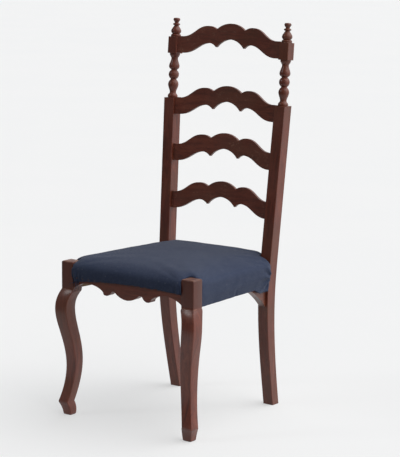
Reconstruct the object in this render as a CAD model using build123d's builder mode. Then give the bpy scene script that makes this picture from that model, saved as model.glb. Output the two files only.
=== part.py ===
from build123d import *
from math import atan, cos, sin
import os

# Ladder-back side chair with a stuffed-over seat. Millimetres, +Z up, front towards -Y.
#
# The origin is on the floor, under the middle of the chair. Joined the way a chair maker does it:
# rails and slats carry tenons that sit in mortises in the legs and posts, corner blocks are glued
# and screwed inside the rails, and the seat is webbing, hessian, stuffing, wadding and a tacked cover.

os.makedirs("parts", exist_ok=True)

# ---- driving dimensions ------------------------------------------------------------------------

# Front legs: a square block at the rail, then a square-section cabriole shape down to a hoof.
LEG_OUTER_X = 234.6
LEG_FRONT_Y = -241.0
BLOCK_WIDTH = 42.0
BLOCK_DEPTH = 40.0
LEG_TOP = 447.0
BLOCK_BOTTOM = 367.0
LEG_DRIFT_X = -2.8
LEG_DRIFT_Y = 3.7
DRIFT_HEIGHT = 135.0
LEG_EXTRA_WIDTH = 2.5
BLOCK_TOP_EDGE = 4.0

# Rear posts: a square stile that splays outwards and leans back, with turnings at the top.
POST_FOOT_X = 172.6
POST_SHOULDER_X = 199.3
POST_FOOT_WIDTH = 34.2
POST_SHOULDER_WIDTH = 35.8
SHOULDER_Z = 879.0
LEAN = 0.082
BACK_LINE_AT_SHOULDER = 205.5
POST_SHOULDER_FRONT = 203.5
POST_SHOULDER_BACK = 240.5
POST_SEAT_FRONT = 165.3
POST_SEAT_DEPTH = 37.7
POST_FOOT_DEPTH = 31.0
LEAN_START_Z = 450.0
POST_WAIST_Z = 360.0
POST_WAIST_Y = 159.6
POST_FOOT_Y = 207.0
POST_EDGE = 2.0
HEAD_BLOCK = 33.0
HEAD_CORNER = 3.5
HEAD_BLOCK_LOW = 131.0
HEAD_BLOCK_HIGH = 180.0

# Back slats: one scalloped pattern, bowed backwards between the posts.
SLAT_HEIGHTS = {"top": 1037.5, "upper": 856.9, "lower": 719.7, "bottom": 578.5}
SLAT_THICKNESS = 9.0
SLAT_SETBACK = 2.5
SLAT_BOW = 15.0
SLAT_REACH = 190.0
SLAT_TENON = (16.0, 5.6, 34.0)

# Seat frame.
RAIL_THICKNESS = 22.0
RAIL_TOP = 440.0
RAIL_BOTTOM = 368.0
FRONT_RAIL_FACE_Y = LEG_FRONT_Y + 4.0
SIDE_RAIL_FRONT_X = 222.0
SIDE_RAIL_REAR_X = 192.0
REAR_RAIL_Y = 172.0
BRACKET_DROP = 68.0
BRACKET_LENGTH = 84.0
TENON_THICKNESS = 10.0
TENON_LOW = 378.0
TENON_HIGH = 424.0
TENON_LENGTH = 18.0
TENON_SLACK = 0.15
SIDE_TENON_FRONT_X = 205.5
SIDE_TENON_REAR_X = 176.0
REAR_TENON_THICKNESS = 8.0
CORNER_BLOCK_LOW = 394.0
CORNER_BLOCK_HIGH = 434.0
FRONT_BLOCK_REACH_X = 130.0
FRONT_BLOCK_REACH_Y = -140.0
REAR_BLOCK_REACH_X = 110.0
REAR_BLOCK_REACH_Y = 95.0
JOINT_GAP = 0.3
SCREW_HEAD = 3.0
SCREW_HEAD_RADIUS = 4.2
SCREW_RADIUS = 2.2
SCREW_LENGTH = 32.0

# Upholstery.
WEB_WIDTH = 50.0
WEB_THICKNESS = 2.0
WEB_PITCH = 78.0
HESSIAN_THICKNESS = 1.0
HESSIAN_INSET = 8.0
SEAT_CROWN_Z = 473.0
SEAT_SPHERE = 1900.0
COVER_THICKNESS = 1.6
WADDING_THICKNESS = 4.0
LAYER_GAP = 0.1
FRONT_COVER_LOW = 400.0
BACK_COVER_LOW = 392.0
COVER_TURN = 12.0
TACK_HEAD = 3.2
TACK_HEAD_HEIGHT = 0.8
TACK_PIN = 0.8
TACK_LENGTH = 9.0
FRONT_TACK_PITCH = 22.0
BACK_TACK_PITCH = 29.0
SIDE_TACK_PITCH = 26
TACK_INSET = 4.0
WEB_TACK_OFFSETS = (-15, 0, 15)

LEAN_COS = cos(atan(LEAN))
LEAN_SIN = sin(atan(LEAN))
BLOCK_INNER_X = LEG_OUTER_X - BLOCK_WIDTH
BLOCK_BACK_Y = LEG_FRONT_Y + BLOCK_DEPTH
FAR = 400.0


def save(part, label):
    """Label a finished piece and write its file."""
    part.label = label
    export_step(part, f"parts/{label}.step")


def mirrored(part):
    """The same piece for the other side of the chair."""
    with BuildPart() as twin:
        mirror(part, about=Plane.YZ)
    return twin.part


def cut_away(part, *others):
    """The piece with every other piece's space taken out of it."""
    with BuildPart() as trimmed:
        add(part)
        for other in others:
            add(other, mode=Mode.SUBTRACT)
    return trimmed.part


def back_line_y(height):
    """Line that the chair's back leans along, which its slats are set out from."""
    return BACK_LINE_AT_SHOULDER + LEAN * (height - SHOULDER_Z)


def leaning_frame(x, y, z):
    """Frame that leans back with the posts: its own Z runs up the post."""
    return Plane(origin=(x, y, z), x_dir=(1, 0, 0), z_dir=(0, LEAN_SIN, LEAN_COS)).location


# ---- front legs --------------------------------------------------------------------------------

def leg_side(face, toward, block_size, drift, extra):
    """Leg seen square to one side. Offsets count outwards from the block's face.

    The drift is how much further the lower leg stands out than the common curve says, and extra is
    how much thicker it is on the inner side.
    """
    def at(out, height):
        below_block = max(0.0, BLOCK_BOTTOM - height)
        return (face + toward * (out + drift * min(1.0, below_block / DRIFT_HEIGHT)), height)

    with BuildSketch() as side:
        with BuildLine():
            Polyline(at(0, BLOCK_BOTTOM), at(0, LEG_TOP), at(-block_size, LEG_TOP),
                     at(-block_size, BLOCK_BOTTOM), at(-39 - extra, 360))
            Spline(at(-39 - extra, 360), at(-27 - extra, 325), at(-27 - extra, 292), at(-37 - extra, 222),
                   at(-41.5 - extra, 165), at(-34 - extra, 85), at(-24 - extra, 39))
            Spline(at(-24 - extra, 39), at(-27.5 - extra, 24), at(-27 - extra, 0))
            Line(at(-27 - extra, 0), at(-2, 0))
            Spline(at(-2, 0), at(0.5, 16), at(8, 36))
            Line(at(8, 36), at(8, 40))
            Spline(at(8, 40), at(-2, 81), at(-8.2, 148), at(3, 236), at(14.3, 312), at(0, BLOCK_BOTTOM))
        make_face()
    return side.sketch


with BuildPart() as leg_blank:
    with BuildSketch(Plane.XZ):
        add(leg_side(LEG_OUTER_X, 1, BLOCK_WIDTH, LEG_DRIFT_X, LEG_EXTRA_WIDTH))
    extrude(amount=FAR, both=True)
    with BuildSketch(Plane.YZ):
        add(leg_side(LEG_FRONT_Y, -1, BLOCK_DEPTH, LEG_DRIFT_Y, 0))
    extrude(amount=FAR, both=True, mode=Mode.INTERSECT)
    fillet(leg_blank.edges().group_by(Axis.Z)[-1], BLOCK_TOP_EDGE)

# ---- rear posts --------------------------------------------------------------------------------

TURNING_Y = (POST_SHOULDER_FRONT + POST_SHOULDER_BACK) / 2
TURNING = leaning_frame(POST_SHOULDER_X, TURNING_Y, SHOULDER_Z)

with BuildSketch(Plane.XZ) as turned_half:
    with BuildLine():
        Polyline((0, -8), (13.5, -8), (13.5, 0))
        ThreePointArc((13.5, 0), (14.8, 4.5), (13.2, 9))
        Spline((13.2, 9), (10.2, 12.5), (9.6, 18))
        Spline((9.6, 18), (12.6, 27), (15.5, 38), (13, 48), (8.8, 53))
        Line((8.8, 53), (8.8, 55))
        ThreePointArc((8.8, 55), (15.4, 68), (8.8, 81))
        Line((8.8, 81), (8.8, 82.5))
        Spline((8.8, 82.5), (15.7, 92), (12.8, 104), (10.1, 118))
        Spline((10.1, 118), (12.4, 121.5), (15.2, 127))
        Polyline((15.2, 127), (15.2, 181), (14.2, 181))
        ThreePointArc((14.2, 181), (15, 184), (13.8, 187))
        Polyline((13.8, 187), (10.6, 188.5))
        Spline((10.6, 188.5), (14.8, 199), (9.8, 208), (6.6, 213))
        Spline((6.6, 213), (10.8, 217), (5.6, 221))
        Spline((5.6, 221), (6.4, 223.4), (9.9, 229), (7.6, 235.4))
        Polyline((7.6, 235.4), (0, 236.2), (0, -8))
    make_face()

with BuildPart() as turned_top:
    add(turned_half.sketch)
    revolve(axis=Axis.Z)
    with BuildSketch(Plane.XY.offset(HEAD_BLOCK_LOW)):
        RectangleRounded(HEAD_BLOCK, HEAD_BLOCK, HEAD_CORNER)
    extrude(amount=HEAD_BLOCK_HIGH - HEAD_BLOCK_LOW)

with BuildPart() as post_blank:
    with BuildSketch(Plane.XZ):
        with BuildLine():
            Polyline((POST_FOOT_X - POST_FOOT_WIDTH / 2, 0),
                     (POST_FOOT_X + POST_FOOT_WIDTH / 2, 0),
                     (POST_SHOULDER_X + POST_SHOULDER_WIDTH / 2, SHOULDER_Z),
                     (POST_SHOULDER_X - POST_SHOULDER_WIDTH / 2, SHOULDER_Z),
                     close=True)
        make_face()
    extrude(amount=FAR, both=True)
    with BuildSketch(Plane.YZ):
        with BuildLine():
            Spline((POST_FOOT_Y, 0), (POST_WAIST_Y, POST_WAIST_Z), (POST_SEAT_FRONT, LEAN_START_Z),
                   tangents=[(-0.2, 1), (LEAN, 1)])
            Polyline((POST_SEAT_FRONT, LEAN_START_Z), (POST_SHOULDER_FRONT, SHOULDER_Z),
                     (POST_SHOULDER_BACK, SHOULDER_Z),
                     (POST_SEAT_FRONT + POST_SEAT_DEPTH, LEAN_START_Z))
            Spline((POST_SEAT_FRONT + POST_SEAT_DEPTH, LEAN_START_Z),
                   (POST_WAIST_Y + POST_SEAT_DEPTH, POST_WAIST_Z),
                   (POST_FOOT_Y + POST_FOOT_DEPTH, 0),
                   tangents=[(-LEAN, -1), (0.2, -1)])
            Line((POST_FOOT_Y + POST_FOOT_DEPTH, 0), (POST_FOOT_Y, 0))
        make_face()
    extrude(amount=FAR, both=True, mode=Mode.INTERSECT)
    fillet(post_blank.edges().filter_by(lambda edge: edge.length > FAR), POST_EDGE)
    add(TURNING * turned_top.part)

right_post_blank = post_blank.part
left_post_blank = mirrored(right_post_blank)

# ---- back slats --------------------------------------------------------------------------------

def slat_half_pattern():
    """Right half of the scalloped slat, measured from the middle of its end."""
    with BuildSketch() as half:
        with BuildLine():
            ThreePointArc((0, 68.7), (26, 64.2), (50.5, 50))
            ThreePointArc((50.5, 50), (63, 56.5), (79, 59))
            Spline((79, 59), (120, 44.5), (168, 25), tangents=[(1, 0), (1, 0)])
            Polyline((168, 25), (SLAT_REACH, 25), (SLAT_REACH, -24), (168, -24))
            Spline((168, -24), (120, -9), (71, 9), tangents=[(-1, 0), (-1, 0)])
            ThreePointArc((71, 9), (59, 5), (50.5, -2))
            Line((50.5, -2), (48.5, -2))
            ThreePointArc((48.5, -2), (26, 16), (0, 22.5))
            Line((0, 22.5), (0, 68.7))
        make_face()
    return half.sketch


with BuildPart() as slat_board:
    with BuildSketch(Plane.XZ):
        add(slat_half_pattern())
        mirror(slat_half_pattern(), about=Plane.YZ)
    extrude(amount=FAR, both=True)
    with BuildSketch(Plane.XY):
        with BuildLine():
            ThreePointArc((-SLAT_REACH, SLAT_SETBACK), (0, SLAT_SETBACK + SLAT_BOW),
                          (SLAT_REACH, SLAT_SETBACK))
            Line((SLAT_REACH, SLAT_SETBACK), (SLAT_REACH, SLAT_SETBACK + SLAT_THICKNESS))
            ThreePointArc((SLAT_REACH, SLAT_SETBACK + SLAT_THICKNESS),
                          (0, SLAT_SETBACK + SLAT_BOW + SLAT_THICKNESS),
                          (-SLAT_REACH, SLAT_SETBACK + SLAT_THICKNESS))
            Line((-SLAT_REACH, SLAT_SETBACK + SLAT_THICKNESS), (-SLAT_REACH, SLAT_SETBACK))
        make_face()
    extrude(amount=FAR, both=True, mode=Mode.INTERSECT)


def post_inner_x(height):
    """Inner face of a rear post, or of its head block, at a height."""
    splay = (POST_SHOULDER_X - POST_FOOT_X) / SHOULDER_Z
    half_width = POST_FOOT_WIDTH / 2 + (POST_SHOULDER_WIDTH - POST_FOOT_WIDTH) / 2 * height / SHOULDER_Z
    if height > SHOULDER_Z:
        return POST_SHOULDER_X - HEAD_BLOCK / 2
    return POST_FOOT_X + splay * height - half_width


def slat_frame(height):
    """Frame of a slat: on the back line, leaning with the posts."""
    return leaning_frame(0, back_line_y(height), height)


def slat_tenon(height, side, slack):
    """Tenon on one end of a slat, or with slack the mortise that takes it."""
    length, thickness, tall = SLAT_TENON
    start = post_inner_x(height) - 3
    middle = (start + post_inner_x(height) + length + slack) / 2
    centre = Location((side * middle, SLAT_SETBACK + SLAT_THICKNESS / 2 + 0.6, 0))
    with BuildPart() as tenon:
        with Locations(slat_frame(height) * centre):
            Box(2 * (middle - start), thickness + 2 * slack, tall + 2 * slack)
    return tenon.part


for slat_name, slat_z in SLAT_HEIGHTS.items():
    board = cut_away(slat_frame(slat_z) * slat_board.part, right_post_blank, left_post_blank)
    with BuildPart() as slat:
        add(board)
        add(slat_tenon(slat_z, 1, 0))
        add(slat_tenon(slat_z, -1, 0))
    save(slat.part, f"slat_{slat_name}")

# ---- seat frame --------------------------------------------------------------------------------

REAR_TENON_Y = REAR_RAIL_Y + RAIL_THICKNESS / 2 + 5


def block_between(low, high, slack=0.0):
    """Square-cornered block between two corners, grown by slack on every side."""
    size = Vector(high) - Vector(low)
    with BuildPart() as block:
        with Locations((Vector(high) + Vector(low)) / 2):
            Box(size.X + 2 * slack, size.Y + 2 * slack, size.Z + 2 * slack)
    return block.part


def front_tenon(slack):
    """Tenon on the right end of the front rail."""
    middle = FRONT_RAIL_FACE_Y + RAIL_THICKNESS / 2 - 1
    return block_between((BLOCK_INNER_X - 3, middle - TENON_THICKNESS / 2, TENON_LOW),
                         (BLOCK_INNER_X + TENON_LENGTH, middle + TENON_THICKNESS / 2, TENON_HIGH), slack)


def side_front_tenon(slack):
    """Tenon on the front end of the right side rail."""
    return block_between((SIDE_TENON_FRONT_X, BLOCK_BACK_Y - TENON_LENGTH + 1, TENON_LOW),
                         (SIDE_TENON_FRONT_X + TENON_THICKNESS, BLOCK_BACK_Y + 3, TENON_HIGH), slack)


def side_rear_tenon(slack):
    """Tenon on the rear end of the right side rail."""
    return block_between((SIDE_TENON_REAR_X, POST_WAIST_Y - 4, TENON_LOW),
                         (SIDE_TENON_REAR_X + TENON_THICKNESS, POST_WAIST_Y + TENON_LENGTH, TENON_HIGH),
                         slack)


def rear_tenon(slack):
    """Tenon on the right end of the rear rail."""
    inner_x = post_inner_x(RAIL_TOP)
    return block_between((inner_x - 6, REAR_TENON_Y - REAR_TENON_THICKNESS / 2, TENON_LOW),
                         (inner_x + TENON_LENGTH, REAR_TENON_Y + REAR_TENON_THICKNESS / 2, TENON_HIGH),
                         slack)


def apron_half_pattern():
    """Right half of the front rail's scalloped outline."""
    with BuildSketch() as half:
        with BuildLine():
            Polyline((0, RAIL_TOP), (BLOCK_INNER_X, RAIL_TOP), (BLOCK_INNER_X, 369))
            Spline((BLOCK_INNER_X, 369), (180, 381), (131, 391), (84, 371), (71, 365.5),
                   tangents=[(-0.3, 1), (-1, 0)])
            ThreePointArc((71, 365.5), (62, 369.5), (55, 377.5))
            ThreePointArc((55, 377.5), (48, 380.5), (41, 377.5))
            Spline((41, 377.5), (24, 366.5), (0, 361.5), tangents=[(-0.8, -0.8), (-1, 0)])
            Line((0, 361.5), (0, RAIL_TOP))
        make_face()
    return half.sketch


with BuildPart() as front_rail:
    with BuildSketch(Plane.XZ.offset(-FRONT_RAIL_FACE_Y)):
        add(apron_half_pattern())
        mirror(apron_half_pattern(), about=Plane.YZ)
    extrude(amount=-RAIL_THICKNESS)
    add(front_tenon(0))
    mirror(front_tenon(0), about=Plane.YZ)

def side_rail_x(y, inset=0.0):
    """Outer face of the right side rail at a place along it, less an inset."""
    slope = (SIDE_RAIL_REAR_X - SIDE_RAIL_FRONT_X) / (POST_WAIST_Y - BLOCK_BACK_Y)
    return SIDE_RAIL_FRONT_X + slope * (y - BLOCK_BACK_Y) - inset


def side_board(low, high, front_y):
    """Board that follows the right side rail, as far as the rear post's curved face."""
    rear_y = POST_WAIST_Y + 10
    with BuildPart() as board:
        with BuildSketch(Plane.XY.offset(low)):
            Polygon((side_rail_x(front_y), front_y), (side_rail_x(front_y, RAIL_THICKNESS), front_y),
                    (side_rail_x(rear_y, RAIL_THICKNESS), rear_y), (side_rail_x(rear_y), rear_y),
                    align=None)
        extrude(amount=high - low)
    return board.part


SIDE_RAIL_TOP = RAIL_TOP + WEB_THICKNESS

with BuildPart() as side_rail:
    add(side_board(RAIL_BOTTOM, SIDE_RAIL_TOP, BLOCK_BACK_Y))
    add(right_post_blank, mode=Mode.SUBTRACT)
    add(side_front_tenon(0))
    add(side_rear_tenon(0))

BRACKET_FRONT_Y = POST_WAIST_Y - BRACKET_LENGTH
BRACKET_LOW = RAIL_BOTTOM - BRACKET_DROP

with BuildPart() as side_bracket:
    with BuildSketch(Plane.YZ):
        with BuildLine():
            Line((BRACKET_FRONT_Y, RAIL_BOTTOM), (BRACKET_FRONT_Y, RAIL_BOTTOM - 5))
            ThreePointArc((BRACKET_FRONT_Y, RAIL_BOTTOM - 5), (POST_WAIST_Y - 38, RAIL_BOTTOM - 33),
                          (POST_WAIST_Y - 1, BRACKET_LOW + 3))
            Polyline((POST_WAIST_Y - 1, BRACKET_LOW + 3), (POST_WAIST_Y - 1, BRACKET_LOW),
                     (POST_WAIST_Y + 12, BRACKET_LOW), (POST_WAIST_Y + 12, RAIL_BOTTOM),
                     (BRACKET_FRONT_Y, RAIL_BOTTOM))
        make_face()
    extrude(amount=FAR)
    add(side_board(BRACKET_LOW, RAIL_BOTTOM, BRACKET_FRONT_Y), mode=Mode.INTERSECT)
    add(right_post_blank, mode=Mode.SUBTRACT)

REAR_RAIL_BACK_Y = REAR_RAIL_Y + RAIL_THICKNESS

with BuildPart() as rear_rail:
    add(block_between((-FAR / 2, REAR_RAIL_Y, RAIL_BOTTOM), (FAR / 2, REAR_RAIL_BACK_Y, RAIL_TOP)))
    add(right_post_blank, mode=Mode.SUBTRACT)
    add(left_post_blank, mode=Mode.SUBTRACT)
rear_board = rear_rail.part.solids().sort_by(lambda solid: abs(solid.center().X))[0]

# ---- corner blocks and their screws ------------------------------------------------------------

SCREW_Z = (CORNER_BLOCK_LOW + CORNER_BLOCK_HIGH) / 2
FRONT_BLOCK_Y = FRONT_RAIL_FACE_Y + RAIL_THICKNESS + LAYER_GAP
REAR_BLOCK_Y = REAR_RAIL_Y - LAYER_GAP
POST_CORNER_X = post_inner_x(RAIL_BOTTOM) - JOINT_GAP
POST_FACE_Y = POST_WAIST_Y - 2 * JOINT_GAP


def rail_inside(y):
    """A point on the inner face of the right side rail, just clear of it."""
    return (side_rail_x(y, RAIL_THICKNESS + LAYER_GAP), y)


def corner_block(*outline):
    """Glue block with the given plan."""
    with BuildPart() as block:
        with BuildSketch(Plane.XY.offset(CORNER_BLOCK_LOW)):
            Polygon(*outline, align=None)
        extrude(amount=CORNER_BLOCK_HIGH - CORNER_BLOCK_LOW)
    return block.part


def screw(x, y, direction):
    """Round-headed wood screw driven into a corner block from inside the seat."""
    with BuildPart(Plane(origin=(x, y, SCREW_Z), z_dir=direction)) as body:
        Cylinder(SCREW_HEAD_RADIUS, SCREW_HEAD, align=(Align.CENTER, Align.CENTER, Align.MIN))
        with Locations((0, 0, SCREW_HEAD)):
            Cone(SCREW_RADIUS, 0.6, SCREW_LENGTH, align=(Align.CENTER, Align.CENTER, Align.MIN))
    return body.part


def screw_hole(x, y, direction):
    """Pilot hole and head pocket for a screw at the same place."""
    with BuildPart(Plane(origin=(x, y, SCREW_Z), z_dir=direction)) as hole:
        with Locations((0, 0, SCREW_HEAD)):
            Cylinder(SCREW_HEAD_RADIUS + 0.6, FAR / 8, align=(Align.CENTER, Align.CENTER, Align.MAX))
            Cone(SCREW_RADIUS + 0.1, 0.7, SCREW_LENGTH + 0.5,
                 align=(Align.CENTER, Align.CENTER, Align.MIN))
    return hole.part


RIGHT_SCREWS = (
    (152.0, -188.0, (0, -1, 0)),
    (180.0, -162.0, (1, 0, 0)),
    (132.0, 142.0, (0, 1, 0)),
    (162.0, 116.0, (1, 0, 0)),
)

front_corner_blank = corner_block((FRONT_BLOCK_REACH_X, FRONT_BLOCK_Y),
                                  (BLOCK_INNER_X - JOINT_GAP, FRONT_BLOCK_Y),
                                  (BLOCK_INNER_X - JOINT_GAP, BLOCK_BACK_Y + JOINT_GAP),
                                  rail_inside(BLOCK_BACK_Y + JOINT_GAP),
                                  rail_inside(FRONT_BLOCK_REACH_Y))
rear_corner_blank = corner_block((REAR_BLOCK_REACH_X, REAR_BLOCK_Y), (POST_CORNER_X, REAR_BLOCK_Y),
                                 (POST_CORNER_X, POST_FACE_Y), rail_inside(POST_FACE_Y),
                                 rail_inside(REAR_BLOCK_REACH_Y))
right_holes = [screw_hole(*place) for place in RIGHT_SCREWS]
left_holes = [mirrored(hole) for hole in right_holes]
right_screws = [screw(*place) for place in RIGHT_SCREWS]

# ---- webbing, seat layers and cover --------------------------------------------------------------

WEB_STEPS = (-1.5, -0.5, 0.5, 1.5)
LONG_WEB_TOP = RAIL_TOP + WEB_THICKNESS
CROSS_WEB_TOP = LONG_WEB_TOP + WEB_THICKNESS
CROSS_WEB_Y = -39.0
WEB_END = 6.0
LONG_WEB_FRONT = FRONT_RAIL_FACE_Y + WEB_END
LONG_WEB_BACK = REAR_RAIL_BACK_Y - WEB_END
HESSIAN_LOW = CROSS_WEB_TOP + TACK_HEAD_HEIGHT + 2 * LAYER_GAP
STUFFING_LOW = HESSIAN_LOW + HESSIAN_THICKNESS + 2 * LAYER_GAP
COVER_STAND = 3.8
COVER_FRONT_Y = FRONT_RAIL_FACE_Y - COVER_STAND
COVER_BACK_Y = REAR_RAIL_BACK_Y + COVER_STAND
COVER_SIDE_LOW = RAIL_BOTTOM - COVER_THICKNESS - LAYER_GAP
SEAT_MIDDLE_Y = -20.0


def seat_half_plan():
    """Right half of the cover's plan, notched round the leg block and the rear post."""
    with BuildSketch() as half:
        Polygon((0, COVER_FRONT_Y), (BLOCK_INNER_X - JOINT_GAP, COVER_FRONT_Y),
                (BLOCK_INNER_X - JOINT_GAP, BLOCK_BACK_Y + JOINT_GAP),
                (side_rail_x(BLOCK_BACK_Y) + COVER_STAND, BLOCK_BACK_Y + JOINT_GAP),
                (side_rail_x(POST_FACE_Y) + COVER_STAND, POST_FACE_Y),
                (POST_CORNER_X, POST_FACE_Y), (POST_CORNER_X, COVER_BACK_Y),
                (0, COVER_BACK_Y), align=None)
    return half.sketch


with BuildSketch() as seat_plan:
    add(seat_half_plan())
    mirror(seat_half_plan(), about=Plane.YZ)

with BuildSketch() as frame_plan:
    Polygon((side_rail_x(BLOCK_BACK_Y) + LAYER_GAP, FRONT_RAIL_FACE_Y - LAYER_GAP),
            (side_rail_x(BLOCK_BACK_Y) + LAYER_GAP, BLOCK_BACK_Y),
            (side_rail_x(POST_WAIST_Y) + LAYER_GAP, POST_WAIST_Y),
            (POST_CORNER_X, POST_WAIST_Y), (POST_CORNER_X, REAR_RAIL_BACK_Y + LAYER_GAP),
            (-POST_CORNER_X, REAR_RAIL_BACK_Y + LAYER_GAP), (-POST_CORNER_X, POST_WAIST_Y),
            (-side_rail_x(POST_WAIST_Y) - LAYER_GAP, POST_WAIST_Y),
            (-side_rail_x(BLOCK_BACK_Y) - LAYER_GAP, BLOCK_BACK_Y),
            (-side_rail_x(BLOCK_BACK_Y) - LAYER_GAP, FRONT_RAIL_FACE_Y - LAYER_GAP), align=None)


def crowned(inset, low):
    """Solid under the seat's crowned surface, shrunk by an inset, from a height upwards."""
    with BuildPart() as body:
        with BuildSketch(Plane.XY.offset(low)):
            add(seat_plan.sketch)
            if inset:
                offset(amount=-inset, kind=Kind.INTERSECTION)
        extrude(amount=FAR / 2)
        with Locations((0, SEAT_MIDDLE_Y, SEAT_CROWN_Z - SEAT_SPHERE)):
            Sphere(SEAT_SPHERE - inset, mode=Mode.INTERSECT)
    return body.part


with BuildPart() as webbing_front_to_back:
    for step in WEB_STEPS:
        middle = step * WEB_PITCH
        add(block_between((middle - WEB_WIDTH / 2, LONG_WEB_FRONT, RAIL_TOP),
                          (middle + WEB_WIDTH / 2, LONG_WEB_BACK, LONG_WEB_TOP)))

with BuildPart() as webbing_side_to_side:
    for step in WEB_STEPS:
        middle = CROSS_WEB_Y + step * WEB_PITCH
        half_length = side_rail_x(middle + WEB_WIDTH / 2, WEB_END)
        add(block_between((-half_length, middle - WEB_WIDTH / 2, LONG_WEB_TOP),
                          (half_length, middle + WEB_WIDTH / 2, CROSS_WEB_TOP)))

with BuildPart() as hessian:
    with BuildSketch(Plane.XY.offset(HESSIAN_LOW)):
        add(seat_plan.sketch)
        offset(amount=-HESSIAN_INSET, kind=Kind.INTERSECTION)
    extrude(amount=HESSIAN_THICKNESS)

stuffing = crowned(COVER_THICKNESS + WADDING_THICKNESS + 2 * LAYER_GAP, STUFFING_LOW)
wadding = cut_away(crowned(COVER_THICKNESS + LAYER_GAP, STUFFING_LOW),
                   crowned(COVER_THICKNESS + WADDING_THICKNESS + LAYER_GAP, STUFFING_LOW))

with BuildPart() as cover_shell:
    add(crowned(0, COVER_SIDE_LOW))
    add(crowned(COVER_THICKNESS, COVER_SIDE_LOW), mode=Mode.SUBTRACT)
    with BuildSketch(Plane.XY.offset(COVER_SIDE_LOW)):
        add(frame_plan.sketch)
    extrude(amount=SIDE_RAIL_TOP + LAYER_GAP - COVER_SIDE_LOW, mode=Mode.SUBTRACT)
    add(block_between((-FAR, COVER_FRONT_Y - 1, 0), (FAR, BLOCK_BACK_Y, FRONT_COVER_LOW)),
        mode=Mode.SUBTRACT)
    add(block_between((-FAR, POST_FACE_Y, 0), (FAR, COVER_BACK_Y + 1, BACK_COVER_LOW)),
        mode=Mode.SUBTRACT)
    for side in (1, -1):
        with BuildSketch(Plane.XY.offset(COVER_SIDE_LOW)):
            front = BLOCK_BACK_Y + 6
            back = BRACKET_FRONT_Y - 2
            Polygon((side * side_rail_x(front, -COVER_STAND), front),
                    (side * side_rail_x(front, COVER_TURN), front),
                    (side * side_rail_x(back, COVER_TURN), back),
                    (side * side_rail_x(back, -COVER_STAND), back), align=None)
        extrude(amount=COVER_THICKNESS)

# ---- tacks -------------------------------------------------------------------------------------

front_tacks = [Plane(origin=(FRONT_TACK_PITCH * i, COVER_FRONT_Y, FRONT_COVER_LOW + TACK_INSET),
                     z_dir=(0, 1, 0)) for i in range(-8, 9)]
back_tacks = [Plane(origin=(BACK_TACK_PITCH * i, COVER_BACK_Y, BACK_COVER_LOW + TACK_INSET),
                    z_dir=(0, -1, 0)) for i in range(-5, 6)]
side_tacks = [Plane(origin=(side * side_rail_x(y, COVER_TURN / 2), y, COVER_SIDE_LOW), z_dir=(0, 0, 1))
              for side in (1, -1) for y in range(-188, 73, SIDE_TACK_PITCH)]
cover_tack_places = front_tacks + back_tacks + side_tacks

long_web_tacks = [Plane(origin=(step * WEB_PITCH + dx, y, LONG_WEB_TOP), z_dir=(0, 0, -1))
                  for step in WEB_STEPS for dx in WEB_TACK_OFFSETS
                  for y in (LONG_WEB_FRONT + 7, LONG_WEB_BACK - 7)]
cross_web_tacks = [Plane(origin=(side * side_rail_x(CROSS_WEB_Y + step * WEB_PITCH + dy, WEB_END + 8),
                                 CROSS_WEB_Y + step * WEB_PITCH + dy, CROSS_WEB_TOP), z_dir=(0, 0, -1))
                   for step in WEB_STEPS for dy in WEB_TACK_OFFSETS for side in (1, -1)]
web_tack_places = long_web_tacks + cross_web_tacks


def tacks(places):
    """A group of tacks. Each frame lies on the cloth, its Z pointing into the wood."""
    with BuildPart() as group:
        for place in places:
            with Locations(place.location):
                Cone(TACK_HEAD, TACK_HEAD * 0.6, TACK_HEAD_HEIGHT, rotation=(180, 0, 0),
                     align=(Align.CENTER, Align.CENTER, Align.MIN))
                Cylinder(TACK_PIN, TACK_LENGTH, align=(Align.CENTER, Align.CENTER, Align.MIN))
    return group.part


def tack_holes(places):
    """The holes that a group of tacks makes in cloth and wood."""
    with BuildPart() as group:
        for place in places:
            with Locations(place.location):
                Cylinder(TACK_PIN + 0.1, TACK_LENGTH + 0.2,
                         align=(Align.CENTER, Align.CENTER, Align.MIN))
    return group.part


cover_tack_holes = tack_holes(cover_tack_places)
web_tack_holes = tack_holes(web_tack_places)

# ---- joints cut, pieces written ------------------------------------------------------------------

right_leg = cut_away(leg_blank.part, front_tenon(TENON_SLACK), side_front_tenon(TENON_SLACK))
save(right_leg, "front_leg_right")
save(mirrored(right_leg), "front_leg_left")

slat_mortises = [slat_tenon(height, 1, TENON_SLACK) for height in SLAT_HEIGHTS.values()]
right_post = cut_away(right_post_blank, side_rear_tenon(TENON_SLACK), rear_tenon(TENON_SLACK),
                      *slat_mortises)
save(right_post, "rear_post_right")
save(mirrored(right_post), "rear_post_left")

save(cut_away(front_rail.part, *right_holes, *left_holes, cover_tack_holes, web_tack_holes),
     "front_rail")
right_side_rail = cut_away(side_rail.part, *right_holes, cover_tack_holes, web_tack_holes)
save(right_side_rail, "side_rail_right")
save(mirrored(right_side_rail), "side_rail_left")

with BuildPart() as rear_rail_joined:
    add(rear_board)
    add(rear_tenon(0))
    mirror(rear_tenon(0), about=Plane.YZ)
save(cut_away(rear_rail_joined.part, *right_holes, *left_holes, cover_tack_holes, web_tack_holes),
     "rear_rail")

save(side_bracket.part, "side_bracket_right")
save(mirrored(side_bracket.part), "side_bracket_left")

for blank, place in ((front_corner_blank, "front"), (rear_corner_blank, "rear")):
    right_block = cut_away(blank, *right_holes)
    save(right_block, f"corner_block_{place}_right")
    save(mirrored(right_block), f"corner_block_{place}_left")

with BuildPart() as corner_screws:
    for piece in right_screws:
        add(piece)
        mirror(piece, about=Plane.YZ)
save(corner_screws.part, "corner_screws")

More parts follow.
